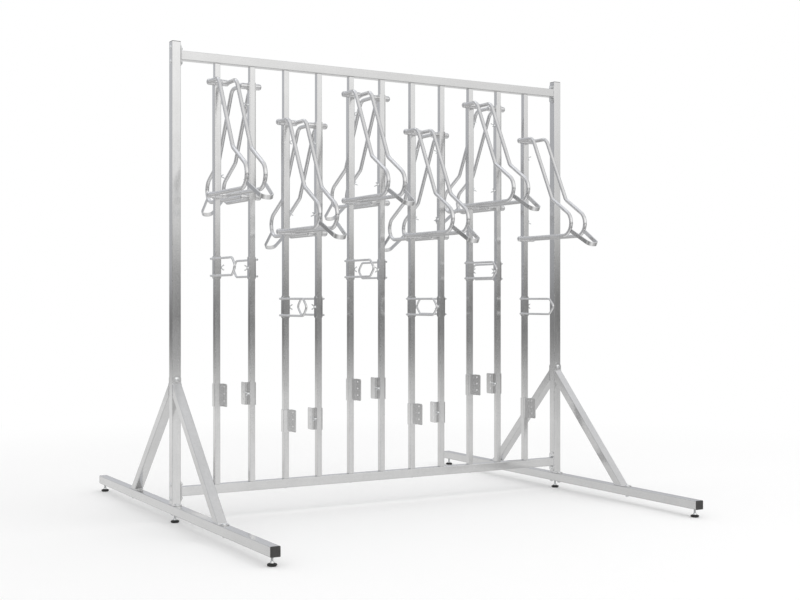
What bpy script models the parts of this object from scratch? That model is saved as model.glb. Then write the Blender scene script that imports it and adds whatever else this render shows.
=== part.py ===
import math

import bmesh
import bpy
from mathutils import Matrix, Vector

# Bike hanging rack for eleven bicycles, in metres. X runs along the rack, its front faces -Y,
# Z is up, the floor is at Z = 0 and the origin lies midway between the two posts.

# Gap between pieces that touch, room round a bolt, and how deep a weld reaches
fitGap = 0.0003
holeClearance = 0.0005
weldDepth = 0.001

# Square tube of the posts, beams, rails and braces, and the plates welded to it
tubeSide = 0.040
tubeWall = 0.002
tubeCorner = 0.003
plateThickness = 0.003
plateInset = 0.0002
plateLip = 0.002
plateBoltMargin = 0.0105
ventRadius = 0.005

# Frame
beamHeight = 0.037
beamLength = 2.100
beamCapThickness = 0.005
postHeadroom = 0.0061
postCapThickness = 0.003
capChamfer = 0.001
railLength = 2.000
railFootGap = 0.0067

# Braces at 45 degrees, their bolts measured from the corner between post and beam
braceBoltReach = 0.545
braceBoltSetback = 0.0175

# Bars of the panel
barSide = 0.025
barWall = 0.002
barCorner = 0.002
barLength = 1.850
barMargin = 0.169
barNames = "abcdefghijk"
highBars = "abefij"
plugLength = 0.018

# Where each bar carries its fittings: the holder hangs from the bar's top, the others stand
# on its foot, and every second pair of bars has them lower
holderDrop = 0.0835
holderStaggerDrop = 0.153
loopRise = 0.9532
loopStaggerDrop = 0.1755
stopRise = 0.3912
stopStaggerDrop = 0.129

# Wheel holder
sheetThickness = 0.003
foldRadius = 0.004
rodRadius = 0.009
rodSpacing = 0.083
crossbarRadius = 0.014
crossbarDome = 0.011
crossbarStandOff = 0.002
crossbarSpacing = 0.4955
channelOverhang = 0.015
armReach = 0.126
armRadius = 0.045
kinkReach = 0.287
kinkDrop = 0.3145
kinkRadius = 0.035
noseSlope = math.radians(30.9)
noseRadius = 0.0589
strapSlope = math.radians(28.8)
strapDrop = 0.0068
strapLength = 0.151
strapEndSpan = 0.052
strapWidth = 0.020
strapThickness = 0.004
strapRadius = 0.026
holderBoltDrop = 0.085

# Locking loop
loopRodRadius = 0.005
loopRodSpacing = 0.075
loopStandOff = 0.0142
loopReach = 0.279
loopNoseDepth = 0.037
loopTipRadius = 0.016
loopShoulderRadius = 0.020
loopBendRadius = 0.009
sleeveHeight = 0.101
sleeveCorner = 0.008

# Wheel stop
stopPlateHeight = 0.101
stopWallOverhang = 0.0097
stopFlangeDepth = 0.0437
stopCorner = 0.006
stopHoleRadius = 0.0045
stopHoleDepth = 0.0142
stopHoleTop = 0.0126
stopHolePitch = 0.0315
stopHoleCount = 3

# Bolts of the frame, and the heads of the bolts that hold the bars
frameBoltRadius = 0.005
frameHeadRadius = 0.010
frameHeadHeight = 0.005
frameNutRadius = 0.0095
frameNutHeight = 0.008
frameBoltTip = 0.002
barHeadRadius = 0.0075
barHeadHeight = 0.0045
headTaper = 0.6

# Wing nuts, those of the wheel holder and the wheel stop turned from upright
wingHubRadius = 0.0055
wingHubHeight = 0.004
wingThickness = 0.0035
wingRootSpan = 0.0088
wingNotchHeight = 0.0075
wingSpan = 0.0276
wingTopSpan = 0.0243
wingHeight = 0.0215
wingTipHeight = 0.0045
upperWingAngle = math.radians(45)
lowerWingAngle = math.radians(-45)
stopWingAngle = math.radians(50)

# Levelling foot
footSetback = 0.0275
padRadius = 0.019
padEdge = 0.002
padRim = 0.006
padShoulderRadius = 0.0162
padShoulderHeight = 0.0098
padHeight = 0.012
coneRadius = 0.009
coneTopRadius = 0.0068
coneHeight = 0.007
studRadius = 0.005
studInsertion = 0.018

# How finely round shapes are drawn
headSides = 8
shankSides = 6
footSides = 12
crossbarSides = 8
crossbarRings = 2
plateEndPieces = 6
rodFineness = 1
loopFineness = 1
arcStep = math.radians(30)
cornerStep = math.radians(45)
foldStep = math.radians(90)
smoothAngle = math.radians(50)
flatAngle = math.radians(0.1)
mergeDistance = 0.00001

# Sizes and heights that follow from the ones above
halfTube = tubeSide / 2
halfBar = barSide / 2
halfPlate = halfTube - plateInset
barPitch = (railLength - 2 * barMargin) / (len(barNames) - 1)
plateBoltOffset = halfTube + plateBoltMargin
plateReach = plateBoltOffset + halfPlate
beamTop = beamHeight + tubeSide
postFoot = beamTop + fitGap
postOffset = railLength / 2 + plateThickness + fitGap + halfTube
lowerRailHeight = beamTop + railFootGap + plateReach
barFoot = lowerRailHeight + halfTube + fitGap
upperRailHeight = barFoot + barLength + fitGap + halfTube
postLength = upperRailHeight + plateReach + postHeadroom - postFoot - plateThickness
barClear = halfBar + fitGap
sleeveHalf = barClear + sheetThickness
halfRodSpacing = rodSpacing / 2
crossbarOffset = halfBar + crossbarStandOff
loopSide = sleeveHalf + loopStandOff
stopWallReach = sleeveHalf + stopWallOverhang
stopReach = sleeveHalf + stopFlangeDepth

# A shape is drawn in XY and raised along Z, and these turns lay it onto another axis
upright = Matrix.Identity(4)
alongX = Matrix(((0, 0, 1), (1, 0, 0), (0, 1, 0))).to_4x4()
alongY = Matrix.Rotation(math.pi / 2, 4, "X")

# Turns that point a bolt's head
headUp = Matrix.Identity(4)
headFront = Matrix.Rotation(math.pi / 2, 4, "X")
headLeft = Matrix.Rotation(-math.pi / 2, 4, "Y")
headRight = Matrix.Rotation(math.pi / 2, 4, "Y")


# Scene

def clearScene():
    for obj in list(bpy.data.objects):
        bpy.data.objects.remove(obj, do_unlink=True)


def makeCollection(name):
    collection = bpy.data.collections.new(name)
    bpy.context.scene.collection.children.link(collection)
    return collection


def makeMaterial(name, colour, roughness, metallic):
    material = bpy.data.materials.new(name)
    material.use_nodes = True
    shader = material.node_tree.nodes["Principled BSDF"]
    shader.inputs["Base Color"].default_value = (*colour, 1.0)
    shader.inputs["Roughness"].default_value = roughness
    shader.inputs["Metallic"].default_value = metallic
    material.diffuse_color = (*colour, 1.0)
    return material


def addObject(name, data, collection):
    obj = bpy.data.objects.new(name, data)
    collection.objects.link(obj)
    return obj


def addEmpty(name, parent, place, turn=0.0):
    empty = addObject(name, None, rack)
    empty.parent = parent
    empty.location = place
    empty.rotation_euler.z = turn
    return empty


# Outlines and paths

# Corners joined by straight runs, each corner with a radius rounded into an arc
def rounded(corners, radii, step=arcStep, closed=False):
    points = []
    count = len(corners)
    for index, corner in enumerate(corners):
        isEnd = not closed and index in (0, count - 1)
        if isEnd or radii[index] <= 0:
            points.append(corner.copy())
            continue
        before = (corners[index - 1] - corner).normalized()
        after = (corners[(index + 1) % count] - corner).normalized()
        opening = before.angle(after)
        sweep = math.pi - opening
        centre = corner + (before + after).normalized() * radii[index] / math.sin(opening / 2)
        reach = radii[index] / math.tan(opening / 2)
        first = corner + before * reach - centre
        last = corner + after * reach - centre
        pieces = max(1, round(sweep / step))
        for piece in range(pieces + 1):
            turnedBy = sweep * piece / pieces
            spoke = first * math.sin(sweep - turnedBy) + last * math.sin(turnedBy)
            points.append(centre + spoke / math.sin(sweep))
    return points


def squareOutline(side, radius):
    half = side / 2
    corners = [Vector((x * half, y * half)) for x, y in ((1, 1), (-1, 1), (-1, -1), (1, -1))]
    return rounded(corners, [radius] * 4, cornerStep, closed=True)


# Half a circle from +X over +Y to -X, or under -Y if side is -1
def halfRound(centreY, radius, side):
    points = []
    for piece in range(plateEndPieces + 1):
        angle = math.pi * piece / plateEndPieces
        if side < 0:
            angle += math.pi
        points.append(Vector((math.cos(angle) * radius, centreY + math.sin(angle) * radius)))
    return points


def boltedPlateOutline():
    return halfRound(plateBoltOffset, halfPlate, 1) + halfRound(-plateBoltOffset, halfPlate, -1)


# From the start of the plate to its rounded end round the bolt
def lugOutline(start, boltPlace):
    side = math.copysign(1, boltPlace)
    corners = [Vector((-halfPlate * side, start)), Vector((halfPlate * side, start))]
    return halfRound(boltPlace, halfPlate, side) + corners


# Solids

def bake(obj):
    graph = bpy.context.evaluated_depsgraph_get()
    mesh = bpy.data.meshes.new_from_object(obj.evaluated_get(graph))
    old = obj.data
    obj.modifiers.clear()
    obj.data = mesh
    bpy.data.meshes.remove(old)


def weld(mesh):
    shape = bmesh.new()
    shape.from_mesh(mesh)
    bmesh.ops.remove_doubles(shape, verts=shape.verts, dist=mergeDistance)
    bmesh.ops.recalc_face_normals(shape, faces=shape.faces)
    shape.to_mesh(mesh)
    shape.free()


def solidFromCurve(curve):
    outline = addObject("outline", curve, workshop)
    graph = bpy.context.evaluated_depsgraph_get()
    mesh = bpy.data.meshes.new_from_object(outline.evaluated_get(graph))
    bpy.data.objects.remove(outline)
    weld(mesh)
    return addObject("solid", mesh, workshop)


def move(obj, turn, place=(0, 0, 0)):
    obj.data.transform(Matrix.Translation(place) @ turn)
    return obj


# The first outline is filled and any others are holes in it
def prism(outlines, depth, turn=upright, place=(0, 0, 0)):
    curve = bpy.data.curves.new("outline", "CURVE")
    curve.dimensions = "2D"
    curve.fill_mode = "BOTH"
    curve.extrude = depth / 2
    for outline in outlines:
        spline = curve.splines.new("POLY")
        spline.points.add(len(outline) - 1)
        spline.use_cyclic_u = True
        for point, (x, y) in zip(spline.points, outline):
            point.co = (x, y, 0, 1)
    return move(solidFromCurve(curve), turn, place)


def rod(points, radius, fineness):
    curve = bpy.data.curves.new("rod", "CURVE")
    curve.dimensions = "3D"
    curve.bevel_depth = radius
    curve.bevel_resolution = fineness
    curve.use_fill_caps = True
    spline = curve.splines.new("POLY")
    spline.points.add(len(points) - 1)
    for point, place in zip(spline.points, points):
        point.co = (*place, 1)
    return solidFromCurve(curve)


# The profile runs from the top of the axis down its outer side to the bottom
def turned(profile, steps, turn=upright, place=(0, 0, 0)):
    mesh = bpy.data.meshes.new("profile")
    points = [(radius, 0, height) for radius, height in profile]
    mesh.from_pydata(points, [(index, index + 1) for index in range(len(points) - 1)], [])
    obj = addObject("solid", mesh, workshop)
    screw = obj.modifiers.new("turn", "SCREW")
    screw.steps = steps
    screw.render_steps = steps
    screw.use_merge_vertices = True
    screw.merge_threshold = mergeDistance
    bake(obj)
    return move(obj, turn, place)


def cylinder(radius, length, sides, turn=upright, place=(0, 0, 0), topRadius=None):
    mesh = bpy.data.meshes.new("cylinder")
    shape = bmesh.new()
    radii = {"radius1": radius, "radius2": radius if topRadius is None else topRadius}
    bmesh.ops.create_cone(shape, cap_ends=True, segments=sides, depth=length, **radii)
    shape.to_mesh(mesh)
    shape.free()
    return move(addObject("solid", mesh, workshop), turn, place)


def block(low, high):
    mesh = bpy.data.meshes.new("block")
    shape = bmesh.new()
    bmesh.ops.create_cube(shape, size=1.0)
    size = Vector(high) - Vector(low)
    middle = (Vector(high) + Vector(low)) / 2
    shape.transform(Matrix.Translation(middle) @ Matrix.Diagonal((*size, 1)))
    shape.to_mesh(mesh)
    shape.free()
    return addObject("solid", mesh, workshop)


def combine(target, tools, operation):
    for tool in tools:
        modifier = target.modifiers.new("combine", "BOOLEAN")
        modifier.operation = operation
        modifier.solver = "EXACT"
        modifier.object = tool
        bake(target)
        weld(target.data)
        bpy.data.objects.remove(tool)
    return target


def fuse(target, *tools):
    return combine(target, tools, "UNION")


def cut(target, *tools):
    return combine(target, tools, "DIFFERENCE")


def keepInside(target, *tools):
    return combine(target, tools, "INTERSECT")


# Rounds the corners of a sheet whose thickness runs along X, where it ends at the depth given
def roundSheet(obj, depth, radius):
    shape = bmesh.new()
    shape.from_mesh(obj.data)
    bmesh.ops.dissolve_limit(shape, angle_limit=flatAngle, verts=shape.verts, edges=shape.edges)
    corners = []
    for edge in shape.edges:
        first, last = (vertex.co for vertex in edge.verts)
        atEnd = max(abs(first.y - depth), abs(last.y - depth)) < mergeDistance
        if atEnd and abs(first.z - last.z) < mergeDistance:
            corners.append(edge)
    bmesh.ops.bevel(shape, geom=corners, offset=radius, segments=2, profile=0.5, affect="EDGES")
    bmesh.ops.triangulate(shape, faces=shape.faces)
    shape.to_mesh(obj.data)
    shape.free()
    return obj


def paint(obj, isTrim):
    for face in obj.data.polygons:
        face.material_index = 1 if isTrim(face.center) else 0


# Bolts

# A seat above zero is a gap to the piece under it, and one below zero is sunk into the piece
# that the head or the nut is joined to.

# A round head whose top narrows
def boltHead(radius, height, seat, turn=headUp, place=(0, 0, 0)):
    middle = (0, 0, (height + seat) / 2)
    head = cylinder(radius, height - seat, headSides, upright, middle, radius * headTaper)
    return move(head, turn, place)


def boltHole(length, turn, place):
    radius = frameBoltRadius + holeClearance / math.cos(math.pi / shankSides)
    return cylinder(radius, length, shankSides, turn, place)


# The head is on top and the nut below the grip
def frameBolt(grip, headSeat, nutSeat, turn, place):
    head = boltHead(frameHeadRadius, frameHeadHeight, headSeat)
    top = frameHeadHeight / 2
    bottom = -grip - nutSeat - frameNutHeight - frameBoltTip
    middle = (0, 0, (top + bottom) / 2)
    shank = cylinder(frameBoltRadius, top - bottom, shankSides, upright, middle)
    middle = (0, 0, -grip - nutSeat - frameNutHeight / 2)
    nut = cylinder(frameNutRadius, frameNutHeight, 6, upright, middle)
    return move(fuse(head, shank, nut), turn, place)


def barBoltHead(turn, place):
    return boltHead(barHeadRadius, barHeadHeight, -weldDepth, turn, place)


# A round foot under two wings that spread outwards
def wingNut(angle, turn, place):
    root = wingHubHeight - weldDepth
    tip = wingHeight - wingTipHeight
    wings = [
        (-wingRootSpan / 2, root),
        (wingRootSpan / 2, root),
        (wingSpan / 2, tip),
        (wingTopSpan / 2, wingHeight),
        (0, wingNotchHeight),
        (-wingTopSpan / 2, wingHeight),
        (-wingSpan / 2, tip),
    ]
    middle = (0, 0, (wingHubHeight - weldDepth) / 2)
    nut = cylinder(wingHubRadius, wingHubHeight + weldDepth, headSides, upright, middle)
    fuse(nut, prism([wings], wingThickness, alongY))
    return move(nut, turn @ Matrix.Rotation(angle, 4, "Z"), place)


# Frame

def frameTube(length, turn=upright, place=(0, 0, 0)):
    outlines = [squareOutline(tubeSide, tubeCorner), squareOutline(tubeSide - 2 * tubeWall, 0)]
    return prism(outlines, length, turn, place)


# A cap on the end of a tube, from inside the tube's end at zero up to its chamfered rim
def endCap(thickness, turn, place):
    cap = prism([squareOutline(tubeSide, tubeCorner)], thickness + weldDepth)
    move(cap, upright, (0, 0, (thickness - weldDepth) / 2))
    shape = bmesh.new()
    shape.from_mesh(cap.data)
    bmesh.ops.dissolve_limit(shape, angle_limit=flatAngle, verts=shape.verts, edges=shape.edges)
    rim = [edge for edge in shape.edges if min(vertex.co.z for vertex in edge.verts) > 0]
    bmesh.ops.bevel(shape, geom=rim, offset=capChamfer, segments=1, affect="EDGES")
    shape.to_mesh(cap.data)
    shape.free()
    return move(cap, turn, place)


# Origin in the middle of the foot plate's underside
def makePost():
    length = postLength + weldDepth
    post = frameTube(length, upright, (0, 0, plateThickness + postLength - length / 2))
    for railHeight in (lowerRailHeight, upperRailHeight):
        for side in (-1, 1):
            place = (0, 0, railHeight + side * plateBoltOffset - postFoot)
            cut(post, boltHole(tubeSide * 2, headRight, place))
    place = (0, 0, beamTop + braceBoltReach - postFoot)
    cut(post, boltHole(tubeSide * 2, headFront, place))
    plate = prism([boltedPlateOutline()], plateThickness, upright, (0, 0, plateThickness / 2))
    fuse(post, plate, endCap(postCapThickness, upright, (0, 0, plateThickness + postLength)))
    grip = plateThickness + fitGap + tubeSide
    for side in (-1, 1):
        place = (0, side * plateBoltOffset, plateThickness)
        fuse(post, frameBolt(grip, -weldDepth, fitGap, headUp, place))
    paint(post, lambda centre: centre.z > plateThickness + postLength - mergeDistance)
    return post.data


# Origin in the middle of the tube
def makeBeam():
    beam = frameTube(beamLength, alongY)
    for reach in (plateBoltOffset, halfTube + braceBoltReach):
        for side in (-1, 1):
            cut(beam, boltHole(tubeSide * 2, headUp, (0, side * reach, 0)))
    studHole = studRadius + holeClearance
    for place in footPlaces:
        cut(beam, cylinder(studHole, tubeSide, footSides, upright, (0, place, -halfTube)))
    half = beamLength / 2
    fuse(
        beam,
        endCap(beamCapThickness, Matrix.Rotation(math.pi / 2, 4, "X"), (0, -half, 0)),
        endCap(beamCapThickness, Matrix.Rotation(-math.pi / 2, 4, "X"), (0, half, 0)),
    )
    paint(beam, lambda centre: abs(centre.y) > half - mergeDistance)
    return beam.data


# Origin in the middle of the tube. The bolts to the bars have their heads on top, and the one
# on the lower rail is turned over.
def makeRail():
    rail = frameTube(railLength + 2 * weldDepth, alongX)
    half = railLength / 2
    grip = plateThickness + fitGap + tubeSide
    for side, turn in ((-1, headLeft), (1, headRight)):
        middle = (side * (half + plateThickness / 2), 0, 0)
        fuse(rail, prism([boltedPlateOutline()], plateThickness, alongX, middle))
        cut(rail, cylinder(ventRadius, 2 * plateThickness, headSides, headRight, middle))
        for height in (-plateBoltOffset, plateBoltOffset):
            place = (side * (half + grip), 0, height)
            fuse(rail, frameBolt(grip, fitGap, -weldDepth, turn, place))
    plugHalf = halfBar - barWall - fitGap
    for index in range(0, len(barNames), 2):
        x = barX(index)
        plugTop = -halfTube + weldDepth
        plugBottom = -halfTube - plugLength
        plug = block((x - plugHalf, -plugHalf, plugBottom), (x + plugHalf, plugHalf, plugTop))
        fuse(rail, plug, barBoltHead(headUp, (x, 0, halfTube)))
    return rail.data


# Origin in the corner between the post's face and the beam's top. The brace reaches out
# along -Y and up along Z, and the front one carries the bolt that goes through both.
def makeBrace(isFront):
    face = fitGap + plateThickness
    outerSum = face + braceBoltReach - braceBoltSetback
    innerSum = outerSum - tubeSide * math.sqrt(2)
    middleSum = (outerSum + innerSum) / 2
    slant = Matrix.Rotation(-math.pi / 4, 4, "X")
    length = (outerSum + tubeSide) * math.sqrt(2)
    brace = frameTube(length, slant, (0, -middleSum / 2, middleSum / 2))
    start = face - weldDepth
    keepInside(brace, block((-tubeSide, -length, start), (tubeSide, -start, length)))
    edge = innerSum - face - plateLip
    middle = fitGap + plateThickness / 2
    post = prism([lugOutline(edge, braceBoltReach)], plateThickness, alongY, (0, -middle, 0))
    foot = prism([lugOutline(-edge, -braceBoltReach)], plateThickness, upright, (0, 0, middle))
    cut(foot, cylinder(ventRadius, 2 * face, headSides, upright, (0, face - middleSum, fitGap)))
    fuse(brace, post, foot)
    grip = face + tubeSide
    place = (0, -braceBoltReach, face)
    fuse(brace, frameBolt(grip, -weldDepth, fitGap, headUp, place))
    place = (0, -face, braceBoltReach)
    if isFront:
        fuse(brace, frameBolt(grip + face, -weldDepth, fitGap, headFront, place))
    else:
        cut(brace, boltHole(4 * face, headFront, place))
    return brace.data


# Origin on the floor, under the stud
def makeFoot():
    studTop = beamHeight + studInsertion
    coneTop = padHeight + coneHeight
    profile = [
        (0, studTop),
        (studRadius, studTop),
        (studRadius, coneTop),
        (coneTopRadius, coneTop),
        (coneRadius, padHeight),
        (padShoulderRadius, padShoulderHeight),
        (padRadius, padRim),
        (padRadius - padEdge, 0),
        (0, 0),
    ]
    foot = turned(profile, footSides)
    paint(foot, lambda centre: centre.z < padHeight)
    return foot.data


# Panel

def barX(index):
    return (index - (len(barNames) - 1) / 2) * barPitch


def isHigh(name):
    return name in highBars


# Heights above the floor of a bar's fittings
def fittingHeights(high):
    low = 0 if high else 1
    return {
        "holder": barFoot + barLength - holderDrop - low * holderStaggerDrop,
        "loop": barFoot + loopRise - low * loopStaggerDrop,
        "stop": barFoot + stopRise - low * stopStaggerDrop,
    }


# Origin in the middle of the bar's foot. The nut of the wheel stop sits on the bar itself.
def makeBar(high):
    outlines = [squareOutline(barSide, barCorner), squareOutline(barSide - 2 * barWall, 0)]
    bar = prism(outlines, barLength, upright, (0, 0, barLength / 2))
    stopHeight = fittingHeights(high)["stop"] - barFoot
    return fuse(bar, wingNut(stopWingAngle, headRight, (halfBar, 0, stopHeight))).data


# A folded sheet round the front and both sides of a bar
def sleeve(height, middle):
    out, inside = sleeveHalf, barClear
    corners = [
        (-out, halfBar),
        (-out, -out),
        (out, -out),
        (out, halfBar),
        (inside, halfBar),
        (inside, -inside),
        (-inside, -inside),
        (-inside, halfBar),
    ]
    radii = [0, foldRadius, foldRadius, 0, 0, 0, 0, 0]
    outline = rounded([Vector(corner) for corner in corners], radii, foldStep, closed=True)
    return prism([outline], height, upright, (0, 0, middle))


def crossbar(height):
    profile = []
    for ring in range(crossbarRings + 1):
        angle = math.pi / 2 * ring / crossbarRings
        profile.append((crossbarRadius * math.sin(angle), crossbarDome * math.cos(angle)))
    upper = [(radius, halfRodSpacing + level) for radius, level in profile]
    lower = [(radius, -level) for radius, level in reversed(upper)]
    return turned(upper + lower, crossbarSides, headRight, (0, -crossbarOffset, height))


def holderRod(x):
    run = (crossbarSpacing - kinkDrop) / math.tan(noseSlope)
    corners = [
        Vector((x, -crossbarOffset, 0)),
        Vector((x, -armReach, 0)),
        Vector((x, -kinkReach, -kinkDrop)),
        Vector((x, -kinkReach - run, -crossbarSpacing)),
        Vector((x, -crossbarOffset, -crossbarSpacing)),
    ]
    return rod(rounded(corners, [0, armRadius, kinkRadius, noseRadius, 0]), rodRadius, rodFineness)


# The strap leaves the rods' noses square to them and narrows on its way out, drawn with Y as
# the distance from the centre of the nose's bend and then tilted down
def holderStrap():
    half = strapThickness / 2
    wide, narrow = halfRodSpacing, strapEndSpan / 2
    end = noseRadius + strapLength
    narrowInside = narrow + strapThickness * (wide - narrow) / strapLength
    corners = [
        (-wide - half, noseRadius),
        (-narrow - half, end),
        (narrow + half, end),
        (wide + half, noseRadius),
        (wide - half, noseRadius),
        (narrowInside - half, end - strapThickness),
        (half - narrowInside, end - strapThickness),
        (half - wide, noseRadius),
    ]
    inner = strapRadius - strapThickness
    radii = [0, strapRadius, strapRadius, 0, 0, inner, inner, 0]
    outline = rounded([Vector(corner) for corner in corners], radii, cornerStep, closed=True)
    centreHeight = noseRadius - crossbarSpacing
    run = (crossbarSpacing - kinkDrop) / math.tan(noseSlope)
    tangent = noseRadius * math.tan((math.pi - noseSlope) / 2)
    centreReach = kinkReach + run - tangent
    tilt = Matrix.Rotation(strapSlope, 4, "X") @ Matrix.Rotation(math.pi, 4, "Z")
    lowered = Matrix.Translation((0, 0, -strapDrop))
    return prism([outline], strapWidth, tilt @ lowered, (0, -centreReach, centreHeight))


# Origin on the bar's axis, level with the upper crossbar
def makeHolder():
    holder = crossbar(0)
    fuse(holder, crossbar(-crossbarSpacing), holderRod(-halfRodSpacing), holderRod(halfRodSpacing))
    fuse(holder, holderStrap())
    notch = barClear + sheetThickness / 2
    bottom = -crossbarSpacing - channelOverhang
    cut(holder, block((-notch, -notch, bottom), (notch, barSide, channelOverhang)))
    height = crossbarSpacing + 2 * channelOverhang
    fuse(holder, sleeve(height, bottom + height / 2))
    lowerBolt = crossbarSpacing - holderBoltDrop
    for drop, angle in ((holderBoltDrop, upperWingAngle), (lowerBolt, lowerWingAngle)):
        fuse(holder, wingNut(angle, headRight, (sleeveHalf, 0, -drop)))
    return holder.data


def mirrored(point):
    return Vector((point.x, point.y, -point.z))


# Origin on the bar's axis, level with the middle of the sleeve
def makeLoop():
    half = loopRodSpacing / 2
    tipAngle = math.atan2(half, loopNoseDepth)
    tipReach = loopReach + loopTipRadius * (1 / math.sin(tipAngle) - 1)
    end = Vector((-sleeveHalf + sheetThickness / 2, 0, half))
    corner = Vector((-loopSide, 0, half))
    shoulder = Vector((-loopSide, loopNoseDepth - tipReach, half))
    tip = Vector((-loopSide, -tipReach, 0))
    upper = rounded([end, corner, shoulder], [0, loopBendRadius, 0], foldStep)[:-1]
    upper += rounded([corner, shoulder, tip], [0, loopShoulderRadius, 0])[1:-1]
    nose = rounded([shoulder, tip, mirrored(shoulder)], [0, loopTipRadius, 0])[1:-1]
    lower = [mirrored(point) for point in reversed(upper)]
    loop = roundSheet(sleeve(sleeveHeight, 0), halfBar, sleeveCorner)
    fuse(loop, rod(upper + nose + lower, loopRodRadius, loopFineness))
    fuse(loop, wingNut(0, headRight, (sleeveHalf, 0, 0)))
    return loop.data


# Origin on the bar's axis, level with the middle of the sheet
def makeStop():
    out, inside = sleeveHalf, barClear
    corners = [
        (-out, halfBar),
        (-out, -out),
        (stopWallReach - sheetThickness, -out),
        (stopWallReach - sheetThickness, -stopReach),
        (stopWallReach, -stopReach),
        (stopWallReach, -inside),
        (-inside, -inside),
        (-inside, halfBar),
    ]
    radii = [0, foldRadius, 0, 0, 0, foldRadius, 0, 0]
    outline = rounded([Vector(corner) for corner in corners], radii, foldStep, closed=True)
    stop = prism([outline], stopPlateHeight)
    roundSheet(stop, -stopReach, stopCorner)
    for index in range(stopHoleCount):
        height = stopPlateHeight / 2 - stopHoleTop - index * stopHolePitch
        place = (stopWallReach - sheetThickness / 2, -sleeveHalf - stopHoleDepth, height)
        hole = cylinder(stopHoleRadius, 2 * sheetThickness, shankSides, headRight, place)
        cut(stop, hole)
    return stop.data


# Placing

def place(name, mesh, materials, parent, where, turn=(0, 0, 0)):
    if not mesh.materials:
        for material in materials:
            mesh.materials.append(material)
        mesh.shade_smooth()
        mesh.set_sharp_from_angle(angle=smoothAngle)
    obj = addObject(name, mesh, rack)
    obj.parent = parent
    obj.location = where
    obj.rotation_euler = turn
    return obj


def buildFrame(root):
    steel = makeMaterial("frame_steel", (0.56, 0.57, 0.57), 0.38, 0.9)
    braceSteel = makeMaterial("brace_steel", (0.58, 0.59, 0.59), 0.38, 0.9)
    railSteel = makeMaterial("rail_steel", (0.60, 0.61, 0.61), 0.36, 0.9)
    capPlastic = makeMaterial("cap_plastic", (0.07, 0.07, 0.07), 0.55, 0.0)
    padPlastic = makeMaterial("pad_plastic", (0.03, 0.03, 0.03), 0.6, 0.0)
    footSteel = makeMaterial("foot_steel", (0.62, 0.63, 0.62), 0.32, 0.95)
    post, beam, foot = makePost(), makeBeam(), makeFoot()
    frontBrace, backBrace = makeBrace(True), makeBrace(False)
    for side, x in (("left", -postOffset), ("right", postOffset)):
        place("post_" + side, post, (steel, capPlastic), root, (x, 0, postFoot))
        place("foot_beam_" + side, beam, (steel, capPlastic), root, (x, 0, beamHeight + halfTube))
        where = (x, -halfTube, beamTop)
        place("brace_" + side + "_front", frontBrace, (braceSteel,), root, where)
        where = (x, halfTube, beamTop)
        place("brace_" + side + "_back", backBrace, (braceSteel,), root, where, (0, 0, math.pi))
        for end, y in zip(("front", "middle", "back"), footPlaces):
            name = "levelling_foot_" + side + "_" + end
            place(name, foot, (footSteel, padPlastic), root, (x, y, 0))
    rail = makeRail()
    place("top_rail", rail, (railSteel,), root, (0, 0, upperRailHeight))
    place("bottom_rail", rail, (railSteel,), root, (0, 0, lowerRailHeight), (math.pi, 0, 0))


def buildPanel(root):
    barSteel = makeMaterial("bar_steel", (0.60, 0.61, 0.62), 0.34, 0.9)
    rodSteel = makeMaterial("holder_steel", (0.64, 0.65, 0.65), 0.3, 0.95)
    loopSteel = makeMaterial("loop_steel", (0.62, 0.63, 0.63), 0.32, 0.95)
    sheetSteel = makeMaterial("stop_steel", (0.66, 0.67, 0.67), 0.34, 0.9)
    bars = {True: makeBar(True), False: makeBar(False)}
    holder, loop, stop = makeHolder(), makeLoop(), makeStop()
    for index, name in enumerate(barNames):
        high = isHigh(name)
        heights = fittingHeights(high)
        facing = 0.0 if index % 2 == 0 else math.pi
        station = addEmpty("station_" + name, root, (barX(index), 0, 0), facing)
        place("bar_" + name, bars[high], (barSteel,), station, (0, 0, barFoot))
        place("wheel_holder_" + name, holder, (rodSteel,), station, (0, 0, heights["holder"]))
        place("locking_loop_" + name, loop, (loopSteel,), station, (0, 0, heights["loop"]))
        place("wheel_stop_" + name, stop, (sheetSteel,), station, (0, 0, heights["stop"]))


footPlaces = (footSetback - beamLength / 2, 0, beamLength / 2 - footSetback)

clearScene()
rack = makeCollection("bike_hanging_rack")
workshop = makeCollection("workshop")
root = addEmpty("rack_origin", None, (0, 0, 0))
buildFrame(root)
buildPanel(root)
for piece in list(workshop.objects):
    bpy.data.objects.remove(piece)
bpy.data.collections.remove(workshop)
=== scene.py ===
import math

import bmesh
import bpy
from mathutils import Matrix, Vector


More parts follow.
